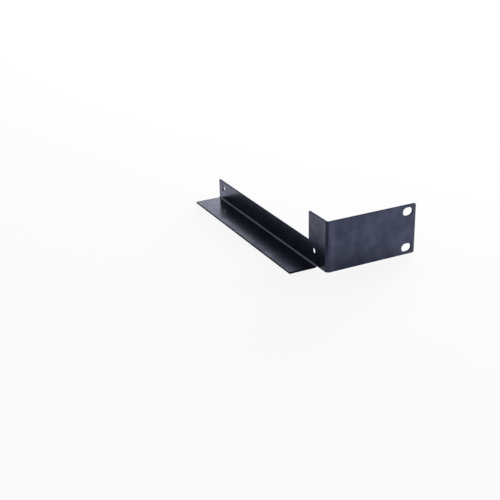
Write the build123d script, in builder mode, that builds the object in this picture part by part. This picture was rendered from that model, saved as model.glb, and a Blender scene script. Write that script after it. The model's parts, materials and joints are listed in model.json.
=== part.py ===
from build123d import *
import os

os.makedirs("parts", exist_ok=True)

# The right-hand bracket of a pair that carries a narrow unit in a 19 inch rack.
# It is one sheet with two bends: an ear that screws to the front of the rack,
# and a low rail whose lower edge is turned inwards as a shelf.
# All sizes are in millimetres. X runs out along the ear, Y runs into the rack
# and Z is up. The origin is on the rear face of the ear, midway between its slots.

# Rack standard
panel_height = 43.66        # front panel of one rack unit
slot_spacing = 31.75        # outer pair of rack holes in one unit

# Sheet
sheet = 1.5                 # thickness
bend_radius = 1.5           # inside of both bends
cut_corner = 0.5            # rounding of the outer corners of the rail and shelf

# Ear
ear_width = 84.1            # from the inner face of the rail to the end of the ear
ear_corner = 1.5            # rounding of the two outer corners
slot_inset = 7.8            # from the end of the ear to the slot centres
slot_length = 9.4
slot_width = 7.2

# Rail
rail_length = 200.0         # from the front of the ear to the rear end
rail_height = 19.8          # from the underside of the shelf to the top edge
riser_depth = 28.7          # full-height part, from the front of the ear
screw_hole = 5.0            # diameter
screw_hole_drop = 6.6       # hole centres below the top edge of the rail
front_hole_setback = 20.7   # from the front of the ear
rear_hole_inset = 9.5       # from the rear end of the rail

# Shelf
shelf_width = 26.3          # from the outer face of the rail to the free edge
shelf_setback = 16.0        # from the front of the ear
relief_width = 1.5          # notch where the bend of the shelf ends

# Places worked out from the sizes above
ear_end_x = slot_inset
inner_x = ear_end_x - ear_width
outer_x = inner_x + sheet
shelf_edge_x = outer_x - shelf_width
front_y = -sheet
riser_y = front_y + riser_depth
rear_y = front_y + rail_length
shelf_y = front_y + shelf_setback
relief_y = shelf_y - relief_width / 2
front_hole_y = front_y + front_hole_setback
rear_hole_y = rear_y - rear_hole_inset
top_z = panel_height / 2
bottom_z = -top_z
underside_z = bottom_z - sheet
rail_top_z = underside_z + rail_height
screw_hole_z = rail_top_z - screw_hole_drop
outer_bend = bend_radius + sheet
bend_line_z = underside_z + outer_bend

with BuildPart() as bracket:
    # Ear and side wall, bent from a strip of full height
    with BuildSketch(Plane.XY.offset(bottom_z)):
        with BuildLine():
            FilletPolyline(
                (ear_end_x, front_y),
                (inner_x, front_y),
                (inner_x, rear_y),
                radius=outer_bend,
            )
            offset(amount=sheet, side=Side.RIGHT)
        make_face()
    extrude(amount=panel_height)

    # Outline of the side wall: a full-height riser behind the ear, then the low rail,
    # with a round-ended relief notch where the bend of the shelf begins
    with BuildSketch(Plane.YZ.offset(inner_x)):
        with BuildLine():
            Polyline(
                (front_y, bottom_z),
                (shelf_y, bottom_z),
                (shelf_y, bend_line_z),
                (rear_y, bend_line_z),
                (rear_y, rail_top_z),
                (riser_y, rail_top_z),
                (riser_y, top_z),
                (front_y, top_z),
                close=True,
            )
        make_face()
        with Locations((relief_y, bend_line_z)):
            Circle(relief_width / 2, mode=Mode.SUBTRACT)
            Rectangle(
                relief_width,
                bend_line_z - bottom_z,
                align=(Align.CENTER, Align.MAX),
                mode=Mode.SUBTRACT,
            )
    extrude(amount=ear_width, mode=Mode.INTERSECT)

    # Shelf with its bend, which meets the lower edge of the side wall
    with BuildSketch(Plane.XZ.offset(-rear_y)):
        with BuildLine():
            flat = Line((shelf_edge_x, underside_z), (outer_x - outer_bend, underside_z))
            JernArc(start=flat @ 1, tangent=flat % 1, radius=outer_bend, arc_size=90)
            offset(amount=sheet, side=Side.LEFT)
        make_face()
    extrude(amount=rear_y - shelf_y)

    # Rounded corners of the cut sheet
    fillet(bracket.edges().filter_by(Axis.Y).group_by(Axis.X)[-1], radius=ear_corner)
    shelf_corners = bracket.edges().filter_by(Axis.Z).group_by(Axis.X)[0]
    across = bracket.edges().filter_by(Axis.X)
    riser_corner = across.group_by(Axis.Z)[-1].sort_by(Axis.Y)[-1]
    rail_corner = across.group_by(Axis.Y)[-1].sort_by(Axis.Z)[-1]
    fillet([*shelf_corners, riser_corner, rail_corner], radius=cut_corner)

    # Horizontal slots for the rack screws
    with BuildSketch(Plane.XZ.offset(-front_y)):
        with GridLocations(slot_length, slot_spacing, 1, 2):
            SlotOverall(slot_length, slot_width)
    extrude(amount=-sheet, mode=Mode.SUBTRACT)

    # Round holes for the screws into the side of the carried unit
    with BuildSketch(Plane.YZ.offset(inner_x)):
        with Locations((front_hole_y, screw_hole_z), (rear_hole_y, screw_hole_z)):
            Circle(screw_hole / 2)
    extrude(amount=sheet, mode=Mode.SUBTRACT)

bracket.part.label = "bracket"
export_step(bracket.part, "parts/bracket.step")
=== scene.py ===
import json
import math

import bmesh
import bpy
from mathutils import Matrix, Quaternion, Vector


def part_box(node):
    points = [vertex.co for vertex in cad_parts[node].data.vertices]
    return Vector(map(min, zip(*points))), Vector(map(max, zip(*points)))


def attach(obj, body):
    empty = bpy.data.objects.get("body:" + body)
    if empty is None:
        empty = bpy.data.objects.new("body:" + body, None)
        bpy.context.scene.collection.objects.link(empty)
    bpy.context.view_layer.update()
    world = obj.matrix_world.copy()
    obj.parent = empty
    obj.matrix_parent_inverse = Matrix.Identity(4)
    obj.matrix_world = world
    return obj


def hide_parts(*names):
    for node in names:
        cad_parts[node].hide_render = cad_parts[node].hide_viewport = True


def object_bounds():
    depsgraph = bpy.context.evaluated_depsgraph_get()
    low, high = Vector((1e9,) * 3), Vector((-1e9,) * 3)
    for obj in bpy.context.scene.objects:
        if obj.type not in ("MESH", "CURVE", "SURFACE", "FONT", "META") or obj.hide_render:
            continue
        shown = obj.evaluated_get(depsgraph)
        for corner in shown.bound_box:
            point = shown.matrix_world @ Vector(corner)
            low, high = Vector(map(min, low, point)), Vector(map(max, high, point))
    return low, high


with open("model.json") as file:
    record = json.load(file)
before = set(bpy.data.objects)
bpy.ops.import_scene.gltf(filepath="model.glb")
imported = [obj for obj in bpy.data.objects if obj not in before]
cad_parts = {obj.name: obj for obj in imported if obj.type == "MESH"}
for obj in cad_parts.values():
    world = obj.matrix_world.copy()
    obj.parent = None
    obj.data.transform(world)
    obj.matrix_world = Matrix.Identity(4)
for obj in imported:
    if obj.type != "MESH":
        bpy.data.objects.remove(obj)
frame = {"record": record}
cadLow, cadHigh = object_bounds()
print("frame loaded")


# Camera, in metres. It stands where the photograph was taken from.
viewpoint = {
    "place": (-0.43278, -0.58932, 0.30027),
    "aim": (-0.10686, 0.07313, -0.02333),
    "roll": -1.4196,               # degrees
    "lens": 68.528,                # millimetres, as the sensor's width is
    "sensor": 36,
}


def placeCamera():
    v = viewpoint
    camera = bpy.data.objects.new("camera", bpy.data.cameras.new("camera"))
    bpy.context.scene.collection.objects.link(camera)
    camera.location = v["place"]
    ahead = Vector(v["aim"]) - Vector(v["place"])
    roll = Quaternion((0, 0, 1), math.radians(v["roll"]))
    camera.rotation_mode = "QUATERNION"
    camera.rotation_quaternion = ahead.to_track_quat("-Z", "Y") @ roll
    camera.data.lens = v["lens"]
    camera.data.sensor_width = v["sensor"]
    bpy.context.scene.camera = camera


def feed(tree, socket, value):
    # Links another socket to this one, or writes a plain value in it
    if isinstance(value, bpy.types.NodeSocket):
        tree.links.new(value, socket)
    else:
        socket.default_value = value


def addNode(tree, kind, inputs=(), **settings):
    # The settings come first, because some of them decide which sockets the node has
    node = tree.nodes.new(kind)
    for key, value in settings.items():
        setattr(node, key, value)
    for key, value in dict(inputs).items():
        feed(tree, node.inputs[key], value)
    return node


def addMath(tree, operation, *values):
    return addNode(tree, "ShaderNodeMath", enumerate(values), operation=operation).outputs[0]


def addSockets(tree, way, kind, names):
    for name in names:
        tree.interface.new_socket(name, in_out=way, socket_type="NodeSocket" + kind)


# Painted sheet, in metres. The overall size and the holes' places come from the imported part.
sheet = {
    "thickness": 0.0015,
    "bendRadius": 0.0015,          # inside of both bends
    "bendSteps": 14,               # strips round each bend
    "panelHeight": 0.04366,
    "railHeight": 0.0198,
    "riserDepth": 0.0287,          # from the front of the ear
    "shelfSetback": 0.016,         # from the front of the ear
    "reliefWidth": 0.0015,
    "earCorner": 0.0015,
    "cutCorner": 0.0005,
    "footCorner": 0.0003,
    "slotSpacing": 0.03175,
    "slotLength": 0.0094,
    "slotWidth": 0.0072,
    "roundSteps": 10,              # sides in a quarter circle
    "edgeRound": 0.0002,           # paint drawn round the cut edges
    "edgeSteps": 3,
    "snap": 1e-7,                  # a corner this near to a bend line lies on it
    "notchMargin": 1e-6,           # keeps the shelf's first edge on the shelf's side of the notch
    "flatWithin": 0.1,             # degrees, faces that turn less than this are joined
    "farFaceShift": 100.0,         # takes the far face out of reach of the painted highlights and shade round the bends
    "faceWeight": 50,              # pull of the large faces on the shading of the small ones
}


def findMount(name):
    return [mount for mount in frame["record"]["mounts"] if mount["name"] == name][0]


def flatPlaces():
    # Places on the flat blank, which lies where the side wall does on the finished bracket.
    # The ear and the shelf are rolled out flat beyond their bend lines.
    s = sheet
    low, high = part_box("bracket")
    wallX = findMount("front_screw_hole")["pos_m"][0]
    slotX = findMount("rack_slots")["pos_m"][0]
    outside = s["bendRadius"] + s["thickness"]
    bendLength = (s["bendRadius"] + s["thickness"] / 2) * math.pi / 2
    innerX = wallX - s["thickness"] / 2
    outerX = wallX + s["thickness"] / 2
    earBendX = innerX + outside
    earBendY = low[1] + outside
    shelfBendX = outerX - outside
    shelfBendZ = low[2] + outside
    return {
        "innerX": innerX,
        "bendLength": bendLength,
        "earBendX": earBendX,
        "earBendY": earBendY,
        "shelfBendX": shelfBendX,
        "shelfBendZ": shelfBendZ,
        "earEnd": earBendY - bendLength - (high[0] - earBendX),
        "slotCenter": earBendY - bendLength - (slotX - earBendX),
        "shelfEdge": shelfBendZ - bendLength - (shelfBendX - low[0]),
        "shelfStart": low[1] + s["shelfSetback"],
        "riserEnd": low[1] + s["riserDepth"],
        "railEnd": high[1],
        "railTop": low[2] + s["railHeight"],
        "top": s["panelHeight"] / 2,
        "bottom": -s["panelHeight"] / 2,
    }


def arc(centerY, centerZ, radius, start, turn):
    steps = max(1, round(abs(turn) / 90 * sheet["roundSteps"]))
    points = []
    for i in range(steps + 1):
        angle = math.radians(start + turn * i / steps)
        points.append((centerY + radius * math.cos(angle), centerZ + radius * math.sin(angle)))
    return points


def blankOutline(p):
    # Once round the blank with the metal on the left, from the ear's lower corner
    s = sheet
    ear, cut, foot = s["earCorner"], s["cutCorner"], s["footCorner"]
    notch = s["reliefWidth"] / 2
    notchStart = p["shelfStart"] - s["reliefWidth"]
    points = arc(p["earEnd"] + ear, p["bottom"] + ear, ear, 180, 90)
    points += arc(notchStart - foot, p["bottom"] + foot, foot, -90, 90)
    points += arc(p["shelfStart"] - notch, p["shelfBendZ"], notch, 180, -180)
    points += arc(p["shelfStart"] + cut, p["shelfEdge"] + cut, cut, 180, 90)
    points += arc(p["railEnd"] - cut, p["shelfEdge"] + cut, cut, -90, 90)
    points += arc(p["railEnd"] - cut, p["railTop"] - cut, cut, 0, 90)
    points += arc(p["riserEnd"] + foot, p["railTop"] + foot, foot, 270, -90)
    points += arc(p["riserEnd"] - cut, p["top"] - cut, cut, 0, 90)
    points += arc(p["earEnd"] + ear, p["top"] - ear, ear, 90, 90)
    return points


def blankHoles(p):
    # Round each hole with the metal on the left, so clockwise
    s = sheet
    radius = s["slotWidth"] / 2
    half = (s["slotLength"] - s["slotWidth"]) / 2
    holes = []
    for z in (-s["slotSpacing"] / 2, s["slotSpacing"] / 2):
        slot = arc(p["slotCenter"] - half, z, radius, 270, -180)
        slot += arc(p["slotCenter"] + half, z, radius, 90, -180)
        holes.append(slot)
    for name in ("front_screw_hole", "rear_screw_hole"):
        hole = findMount(name)
        holes.append(arc(*hole["pos_m"][1:], hole["dims"]["r_mm"] / 1000, 0, -360)[:-1])
    return holes


def insetLoop(loop, inset):
    # Each side of the loop moves into the metal by the inset
    moved = []
    for i, (y, z) in enumerate(loop):
        lastY, lastZ = loop[i - 1]
        nextY, nextZ = loop[(i + 1) % len(loop)]
        before = Vector((y - lastY, z - lastZ)).normalized()
        after = Vector((nextY - y, nextZ - z)).normalized()
        shift = Vector((-before.y - after.y, before.x + after.x)) * (inset / (1 + before.dot(after)))
        moved.append((y + shift.x, z + shift.y))
    return moved


def edgeProfile():
    # Inset and depth of each line round a cut edge, from the near face to the far one
    s = sheet
    quarter = []
    for i in range(s["edgeSteps"] + 1):
        angle = math.pi / 2 * i / s["edgeSteps"]
        quarter.append((s["edgeRound"] * (1 - math.sin(angle)), s["edgeRound"] * (1 - math.cos(angle))))
    return quarter + [(inset, s["thickness"] - depth) for inset, depth in reversed(quarter)]


def ringEdges(bm, ring):
    return [bm.edges.get((a, b)) for a, b in zip(ring, ring[1:] + ring[:1])]


def cutBlank(p):
    bm = bmesh.new()
    cutEdge = bm.faces.layers.bool.new("cutEdge")
    nearRings = []
    farRings = []
    for loop in [blankOutline(p)] + blankHoles(p):
        rings = []
        for inset, depth in edgeProfile():
            x = p["innerX"] + depth
            rings.append([bm.verts.new((x, y, z)) for y, z in insetLoop(loop, inset)])
        for near, far in zip(rings, rings[1:]):
            for i in range(len(near)):
                face = bm.faces.new((near[i - 1], near[i], far[i], far[i - 1]))
                face[cutEdge] = True
        nearRings += ringEdges(bm, rings[0])
        farRings += ringEdges(bm, rings[-1])
    bmesh.ops.triangle_fill(bm, edges=nearRings, use_beauty=True)
    bmesh.ops.triangle_fill(bm, edges=farRings, use_beauty=True)
    scoreBends(bm, p)

    # Joins the triangles of the flat faces between the bend lines
    plain = []
    for edge in bm.edges:
        if len(edge.link_faces) == 2 and not any(face[cutEdge] for face in edge.link_faces):
            plain.append(edge)
    limit = math.radians(sheet["flatWithin"])
    bmesh.ops.dissolve_limit(bm, angle_limit=limit, verts=[], edges=plain, delimit={"SEAM"})
    for edge in bm.edges:
        edge.seam = False
    bmesh.ops.recalc_face_normals(bm, faces=bm.faces[:])
    for face in bm.faces:
        face.smooth = True
    mesh = bpy.data.meshes.new("foldedBracket")
    bm.to_mesh(mesh)
    bm.free()
    return mesh


def scoreBends(bm, p):
    # Lines across the blank where it is rolled, marked as seams until the flat faces are joined
    steps = sheet["bendSteps"]
    lines = [((0, 1, 0), (0, p["shelfStart"], 0))]
    for i in range(steps + 1):
        along = p["bendLength"] * i / steps
        lines.append(((0, 1, 0), (0, p["earBendY"] - along, 0)))
        lines.append(((0, 0, 1), (0, 0, p["shelfBendZ"] - along)))
    for normal, place in lines:
        faces = bm.faces[:]
        if normal[2]:
            faces = [f for f in faces if f.calc_center_median().y > p["shelfStart"]]
        geom = set(faces)
        for face in faces:
            geom.update(face.edges)
            geom.update(face.verts)
        cut = bmesh.ops.bisect_plane(
            bm, geom=list(geom), dist=sheet["snap"], plane_co=place, plane_no=normal)
        for item in cut["geom_cut"]:
            if isinstance(item, bmesh.types.BMEdge):
                item.seam = True


def foldTree(sizes, paints):
    # Rolls the blank round its two bends: the depth in the sheet becomes the radius of the roll
    tree = bpy.data.node_groups.new("foldSheet", "GeometryNodeTree")
    addSockets(tree, "INPUT", "Geometry", ["Geometry"])
    addSockets(tree, "INPUT", "Float", sizes)
    addSockets(tree, "INPUT", "Material", paints)
    addSockets(tree, "OUTPUT", "Geometry", ["Geometry"])
    given = addNode(tree, "NodeGroupInput").outputs

    def calc(operation, *values):
        return addMath(tree, operation, *values)

    neutral = calc("MULTIPLY_ADD", given["Sheet thickness"], 0.5, given["Inside radius"])
    quarter = calc("MULTIPLY", neutral, math.pi / 2)

    def roll(distance):
        # Sine and cosine of the angle reached round the bend, and the straight run beyond it
        past = calc("MAXIMUM", distance, 0.0)
        angle = calc("DIVIDE", calc("MINIMUM", past, quarter), neutral)
        beyond = calc("MAXIMUM", calc("SUBTRACT", past, quarter), 0.0)
        return calc("SINE", angle), calc("COSINE", angle), beyond

    position = addNode(tree, "GeometryNodeInputPosition").outputs[0]
    x, y, z = addNode(tree, "ShaderNodeSeparateXYZ", {0: position}).outputs

    # The ear turns away from the shelf, about a line outside the side wall
    ahead = calc("SUBTRACT", given["Ear bend Y"], y)
    sine, cosine, beyond = roll(ahead)
    radius = calc("SUBTRACT", given["Ear bend X"], x)
    earX = calc("ADD", calc("SUBTRACT", given["Ear bend X"], calc("MULTIPLY", radius, cosine)), beyond)
    earY = calc("SUBTRACT", calc("MAXIMUM", y, given["Ear bend Y"]), calc("MULTIPLY", radius, sine))

    # The shelf turns in under the side wall, only behind the notch
    behind = calc("GREATER_THAN", y, calc("SUBTRACT", given["Shelf start Y"], given["Notch margin"]))
    below = calc("MULTIPLY", behind, calc("SUBTRACT", given["Shelf bend Z"], z))
    sine, cosine, beyond = roll(below)
    radius = calc("SUBTRACT", x, given["Shelf bend X"])
    shelfX = calc("SUBTRACT", calc("MULTIPLY", radius, calc("SUBTRACT", cosine, 1.0)), beyond)
    shelfZ = calc("SUBTRACT", calc("ADD", z, calc("MAXIMUM", below, 0.0)), calc("MULTIPLY", radius, sine))

    # How far along each bend a point of the near face is, 0 at its start and 1 at its end, for the paint
    middle = calc("MULTIPLY", given["Sheet thickness"], 0.5)
    near = calc("LESS_THAN", calc("SUBTRACT", x, given["Near face X"]), middle)
    marked = given["Geometry"]
    for name, distance in (("earBend", ahead), ("shelfBend", below)):
        along = calc("ADD", calc("DIVIDE", distance, quarter), given["Far face shift"])
        along = calc("SUBTRACT", calc("MULTIPLY", near, along), given["Far face shift"])
        mark = addNode(tree, "GeometryNodeStoreNamedAttribute", {
            "Geometry": marked,
            "Name": name,
            "Value": along,
        })
        marked = mark.outputs[0]

    place = addNode(tree, "ShaderNodeCombineXYZ", {0: calc("ADD", earX, shelfX), 1: earY, 2: shelfZ})
    folded = addNode(tree, "GeometryNodeSetPosition", {"Geometry": marked, "Position": place.outputs[0]})
    real = addNode(tree, "GeometryNodeRealizeInstances", {0: folded.outputs[0]})
    coated = addNode(tree, "GeometryNodeSetMaterial", {
        "Geometry": real.outputs[0],
        "Material": given["Face paint"],
    })
    isCut = addNode(tree, "GeometryNodeInputNamedAttribute", {"Name": "cutEdge"}, data_type="BOOLEAN")
    rimmed = addNode(tree, "GeometryNodeSetMaterial", {
        "Geometry": coated.outputs[0],
        "Selection": isCut.outputs["Attribute"],
        "Material": given["Cut edge paint"],
    })
    addNode(tree, "NodeGroupOutput", {0: rimmed.outputs[0]})
    return tree


def foldBracket(facePaint, edgePaint):
    p = flatPlaces()
    piece = bpy.data.objects.new("foldedBracket", cutBlank(p))
    bpy.context.scene.collection.objects.link(piece)
    sizes = {
        "Inside radius": sheet["bendRadius"],
        "Sheet thickness": sheet["thickness"],
        "Near face X": p["innerX"],
        "Ear bend X": p["earBendX"],
        "Ear bend Y": p["earBendY"],
        "Shelf bend X": p["shelfBendX"],
        "Shelf bend Z": p["shelfBendZ"],
        "Shelf start Y": p["shelfStart"],
        "Notch margin": sheet["notchMargin"],
        "Far face shift": sheet["farFaceShift"],
    }
    paints = {"Face paint": facePaint, "Cut edge paint": edgePaint}
    values = {**sizes, **paints}
    fold = piece.modifiers.new("fold", "NODES")
    fold.node_group = foldTree(sizes, paints)
    for item in fold.node_group.interface.items_tree:
        if item.in_out == "INPUT" and item.name in values:
            fold[item.identifier] = values[item.name]
    shading = piece.modifiers.new("shading", "WEIGHTED_NORMAL")
    shading.mode = "FACE_AREA"
    shading.weight = sheet["faceWeight"]
    graph = bpy.context.evaluated_depsgraph_get()
    result = bpy.data.meshes.new_from_object(piece.evaluated_get(graph))
    piece.modifiers.clear()
    piece.data = result
    result.attributes.remove(result.attributes["cutEdge"])
    return piece


# Powder coat. Sizes are the width of one dimple, grain or cloud, in metres.
# A place on a bend is 0 where the bend starts and 1 where it ends. Heights are in metres.
paint = {
    "face": {
        "color": (0.0035, 0.0055, 0.0080),
        "tint": (0.48, 0.54, 1.0, 1.0),
        "roughness": 0.24,
        "steel": (0.19, 0.0),      # share of dark steel where the coat is thin and where it is thick
    },
    "cutEdge": {
        "color": (0.0030, 0.0045, 0.0070),
        "tint": (0.45, 0.48, 0.70, 1.0),
        "roughness": 0.55,
        "steel": (0.92, 0.80),
    },
    "refraction": 2.02,
    "sheen": (0.10, 0.26),         # clear layer, where the coat is thin and where it is thick
    "sheenRoughness": 0.22,
    "sheenRefraction": 1.8,
    "texture": {
        "Peel size": 0.0016,
        "Grain size": 0.00035,
        "Grain share": 0.18,       # height of the grain, as a share of the dimples'
        "Cloud size": 0.014,
        "Clouds from": 0.34,       # noise up to this is the thinnest coat
        "Clouds to": 0.66,         # noise from this on is the thickest
    },
    "noise": {                     # detail and roughness of the noise behind each size
        "Peel size": (1.0, 0.4),
        "Grain size": (2.0, 0.55),
        "Cloud size": (6.0, 0.62),
    },
    "peelDepth": 0.0000025,
    "cloudDepth": 0.25,            # how much the clouds change the colour
    "cloudRoughness": 0.02,
    "lineColor": (0.2000, 0.1980, 0.2050, 1.0),   # painted highlight: a grey line inside the shelf's bend
    "dullShare": 0.70,             # painted shade: dark steel round the ear's bend
    "glintSheen": 0.45,            # painted highlight: more clear layer on the lighter patch beside it
    # bluish colour of that painted highlight
    "glintColor": (0.0120, 0.0160, 0.0380, 1.0),
    # Places of the painted highlight line, painted shade strip and painted glints round the bends
    "marks": {
        "Line middle": 0.5,
        "Line reach": 0.45,
        "Dull middle": 0.42,
        "Dull reach": 0.52,
        "Dull from height": -0.018,
        "Dull to height": 0.002,
        "Glint middle": 1.60,
        "Glint reach": 1.20,
        "Glint height": 0.0,
        "Glint height reach": 0.024,
        "Corner height": -0.0185,
        "Corner height reach": 0.0045,
    },
}


def powderTexture():
    # Rounded dimples with a fine grain on them, and soft clouds where the coat is thicker
    tree = bpy.data.node_groups.new("powderTexture", "ShaderNodeTree")
    addSockets(tree, "INPUT", "Float", paint["texture"])
    addSockets(tree, "OUTPUT", "Float", ["Height", "Clouds"])
    given = addNode(tree, "NodeGroupInput").outputs
    where = addNode(tree, "ShaderNodeTexCoord").outputs["Object"]

    def noise(sizeName):
        detail, roughness = paint["noise"][sizeName]
        node = addNode(tree, "ShaderNodeTexNoise", {
            "Vector": where,
            "Scale": addMath(tree, "DIVIDE", 1.0, given[sizeName]),
            "Detail": detail,
            "Roughness": roughness,
        })
        return node.outputs["Fac"]

    height = addMath(tree, "MULTIPLY_ADD", noise("Grain size"), given["Grain share"], noise("Peel size"))
    clouds = addNode(tree, "ShaderNodeMapRange", {
        "Value": noise("Cloud size"),
        "From Min": given["Clouds from"],
        "From Max": given["Clouds to"],
    }, interpolation_type="SMOOTHSTEP")
    addNode(tree, "NodeGroupOutput", {"Height": height, "Clouds": clouds.outputs["Result"]})
    return tree


def bendMarks():
    # Masks for the light and shade painted round the two bends: a painted highlight line, a painted shade
    # strip and a painted glint
    tree = bpy.data.node_groups.new("bendMarks", "ShaderNodeTree")
    addSockets(tree, "INPUT", "Float", paint["marks"])
    addSockets(tree, "OUTPUT", "Float", ["Line", "Dull", "Glint"])
    given = addNode(tree, "NodeGroupInput").outputs
    where = addNode(tree, "ShaderNodeTexCoord").outputs["Object"]
    height = addNode(tree, "ShaderNodeSeparateXYZ", {0: where}).outputs[2]
    shelfBend = addNode(tree, "ShaderNodeAttribute", attribute_name="shelfBend").outputs["Fac"]
    earBend = addNode(tree, "ShaderNodeAttribute", attribute_name="earBend").outputs["Fac"]

    def ridge(along, middleName, reachName):
        # 1 at one place, falling softly to 0 on both sides of it
        apart = addMath(tree, "ABSOLUTE", addMath(tree, "SUBTRACT", along, given[middleName]))
        fall = addNode(tree, "ShaderNodeMapRange", {
            "Value": apart,
            "From Max": given[reachName],
            "To Min": 1,
            "To Max": 0,
        }, interpolation_type="SMOOTHSTEP")
        return fall.outputs["Result"]

    # The painted shade strip is full above its upper height and fades out below it, towards the bottom
    rise = addNode(tree, "ShaderNodeMapRange", {
        "Value": height,
        "From Min": given["Dull from height"],
        "From Max": given["Dull to height"],
    })
    # Heights of the painted glint: one in the middle of the ear and one at its lower corner
    middleGlint = ridge(height, "Glint height", "Glint height reach")
    cornerGlint = ridge(height, "Corner height", "Corner height reach")
    glintHeights = addMath(tree, "MAXIMUM", middleGlint, cornerGlint)
    paintedShadeStrip = ridge(earBend, "Dull middle", "Dull reach")
    glintStrip = ridge(earBend, "Glint middle", "Glint reach")
    addNode(tree, "NodeGroupOutput", {
        "Line": ridge(shelfBend, "Line middle", "Line reach"),
        "Dull": addMath(tree, "MULTIPLY", paintedShadeStrip, rise.outputs["Result"]),
        "Glint": addMath(tree, "MULTIPLY", glintStrip, glintHeights),
    })
    return tree


def powderPaint(name, texture, marks):
    coat = paint[name]
    material = bpy.data.materials.new(name + "Paint")
    material.use_nodes = True
    tree = material.node_tree
    powder = addNode(tree, "ShaderNodeGroup", paint["texture"], node_tree=texture).outputs
    bends = addNode(tree, "ShaderNodeGroup", paint["marks"], node_tree=marks).outputs
    clouds = powder["Clouds"]

    def byClouds(thin, thick):
        node = addNode(tree, "ShaderNodeMapRange", {"Value": clouds, "To Min": thin, "To Max": thick})
        return node.outputs["Result"]

    def blend(factor, first, second):
        node = addNode(tree, "ShaderNodeMix", {"Factor": factor, "A": first, "B": second}, data_type="RGBA")
        return node.outputs["Result"]

    depth = paint["cloudDepth"]
    thin = [c * (1 - depth) for c in coat["color"]] + [1]
    thick = [c * (1 + depth) for c in coat["color"]] + [1]
    color = blend(clouds, thin, thick)
    # Painted highlights: a grey line inside the shelf's bend and a bluish patch beside the ear's bend
    color = blend(bends["Line"], color, paint["lineColor"])
    color = blend(bends["Glint"], color, paint["glintColor"])

    change = paint["cloudRoughness"]
    # Painted shade: dark steel in the strip round the ear's bend. Painted highlight: more clear layer on
    # the patch beside it
    paintedShade = addMath(tree, "MULTIPLY", bends["Dull"], paint["dullShare"])
    steel = addMath(tree, "MAXIMUM", paintedShade, byClouds(*coat["steel"]))
    sheen = addMath(tree, "MULTIPLY_ADD", bends["Glint"], paint["glintSheen"], byClouds(*paint["sheen"]))
    bump = addNode(tree, "ShaderNodeBump", {"Distance": paint["peelDepth"], "Height": powder["Height"]})
    finish = {
        "Base Color": color,
        "Roughness": byClouds(coat["roughness"] + change, coat["roughness"] - change),
        "Metallic": steel,
        "Coat Weight": addMath(tree, "MULTIPLY", sheen, addMath(tree, "SUBTRACT", 1.0, steel)),
        "Normal": bump.outputs["Normal"],
        "IOR": paint["refraction"],
        "Specular Tint": coat["tint"],
        "Coat Roughness": paint["sheenRoughness"],
        "Coat IOR": paint["sheenRefraction"],
    }
    shader = tree.nodes["Principled BSDF"]
    for key, value in finish.items():
        feed(tree, shader.inputs[key], value)
    return material


# Floor, sky and soft boxes, in metres and watts
studio = {
    "floorColor": (0.95, 0.95, 0.95, 1),
    "floorRoughness": 0.9,
    "floorHalf": 3.0,
    "floorGap": 0.00005,           # keeps the floor out of the shelf's underside
    "underLight": 0.0003,          # rays shorter than this pass the floor and light that underside
    "floorShadow": 0.15,           # share of the floor's own shading that the camera sees
    "skyColor": (1, 1, 1, 1),
    "skyLight": 0.45,
    "skyTop": 0.13,                # what the paint mirrors: white at the horizon, this dark overhead
    "skyTo": 0.12,                 # height on the sky, 0 to 1, where it is that dark
    "boxes": {
        "backBox": {"place": (0.60, 1.20, 0.26), "size": (1.3, 0.52), "power": 2.7},
        "farBackBox": {"place": (1.1, 1.0, 0.30), "size": (0.6, 0.5), "power": 17.0},
        "highBackBox": {"place": (0.45, 1.15, 0.85), "size": (1.2, 0.75), "power": 1.3},
        "rightBox": {"place": (1.2, 0.3, 0.55), "size": (1.2, 0.8), "power": 12.0},
    },
}


def mixShaders(tree, factor, first, second):
    return addNode(tree, "ShaderNodeMixShader", {0: factor, 1: first, 2: second}).outputs[0]


def floorPaper():
    # Matt paper, nearly white for the camera, and clear from below so that the underside can be looked at
    material = bpy.data.materials.new("floorPaper")
    material.use_nodes = True
    tree = material.node_tree
    matte = tree.nodes["Principled BSDF"]
    matte.inputs["Base Color"].default_value = studio["floorColor"]
    matte.inputs["Roughness"].default_value = studio["floorRoughness"]
    matte.inputs["Specular IOR Level"].default_value = 0
    white = addNode(tree, "ShaderNodeEmission").outputs[0]
    clear = addNode(tree, "ShaderNodeBsdfTransparent").outputs[0]
    under = addNode(tree, "ShaderNodeNewGeometry").outputs["Backfacing"]
    rays = addNode(tree, "ShaderNodeLightPath").outputs
    whiteness = addMath(tree, "MULTIPLY", rays["Is Camera Ray"], 1 - studio["floorShadow"])
    short = addMath(tree, "LESS_THAN", rays["Ray Length"], studio["underLight"])
    paper = mixShaders(tree, whiteness, matte.outputs[0], white)
    paper = mixShaders(tree, addMath(tree, "MAXIMUM", under, short), paper, clear)
    tree.links.new(paper, tree.nodes["Material Output"].inputs["Surface"])
    return material


def layFloor(middle, height):
    bm = bmesh.new()
    bmesh.ops.create_grid(bm, x_segments=1, y_segments=1, size=studio["floorHalf"])
    mesh = bpy.data.meshes.new("floor")
    bm.to_mesh(mesh)
    bm.free()
    mesh.materials.append(floorPaper())
    floor = bpy.data.objects.new("floor", mesh)
    floor.location = (middle.x, middle.y, height)
    bpy.context.scene.collection.objects.link(floor)


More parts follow.
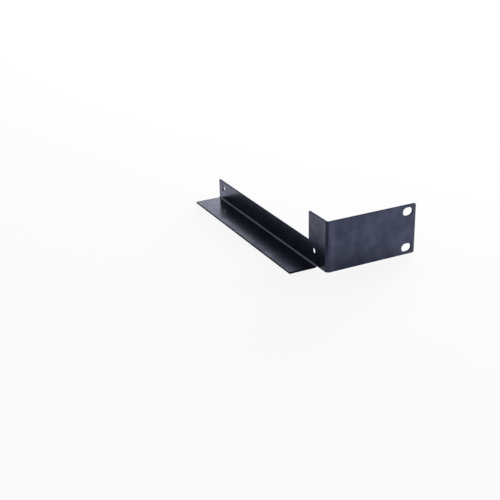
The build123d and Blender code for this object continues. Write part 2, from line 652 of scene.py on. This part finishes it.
def lightSky():
    # Plain light for the paint, a darker sky for what mirrors it, and white behind for the camera
    world = bpy.data.worlds.new("sky")
    bpy.context.scene.world = world
    world.use_nodes = True
    tree = world.node_tree
    light = tree.nodes["Background"]
    light.inputs["Color"].default_value = studio["skyColor"]
    light.inputs["Strength"].default_value = studio["skyLight"]
    rays = addNode(tree, "ShaderNodeLightPath").outputs
    where = addNode(tree, "ShaderNodeTexCoord").outputs["Object"]
    height = addNode(tree, "ShaderNodeSeparateXYZ", {0: where}).outputs[2]
    dim = addNode(tree, "ShaderNodeMapRange", {
        "Value": height,
        "From Max": studio["skyTo"],
        "To Min": 1,
        "To Max": studio["skyTop"],
    }, interpolation_type="SMOOTHSTEP")
    bright = addMath(tree, "MAXIMUM", dim.outputs["Result"], rays["Is Camera Ray"])
    backdrop = addNode(tree, "ShaderNodeBackground", {"Color": studio["skyColor"], "Strength": bright})
    seen = rays["Is Camera Ray"]
    for name in ("Is Glossy Ray", "Is Transmission Ray"):
        seen = addMath(tree, "MAXIMUM", seen, rays[name])
    sky = mixShaders(tree, seen, light.outputs[0], backdrop.outputs[0])
    tree.links.new(sky, tree.nodes["World Output"].inputs["Surface"])


def hangSoftBoxes(middle):
    for name, spec in studio["boxes"].items():
        light = bpy.data.lights.new(name, "AREA")
        light.shape = "RECTANGLE"
        light.size, light.size_y = spec["size"]
        light.energy = spec["power"]
        box = bpy.data.objects.new(name, light)
        box.location = spec["place"]
        box.rotation_mode = "QUATERNION"
        box.rotation_quaternion = (middle - Vector(spec["place"])).to_track_quat("-Z", "Y")
        box.visible_camera = False
        bpy.context.scene.collection.objects.link(box)


placeCamera()
print("camera placed")
texture = powderTexture()
marks = bendMarks()
facePaint = powderPaint("face", texture, marks)
edgePaint = powderPaint("cutEdge", texture, marks)
print("paints mixed")
bracket = foldBracket(facePaint, edgePaint)
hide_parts("bracket")
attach(bracket, "root")
print("bracket folded,", len(bracket.data.polygons), "faces")
middle = (Vector(cadLow) + Vector(cadHigh)) / 2
layFloor(middle, cadLow[2] - studio["floorGap"])
lightSky()
hangSoftBoxes(middle)
print("studio lit")

bpy.context.scene.view_settings.view_transform = "Standard"
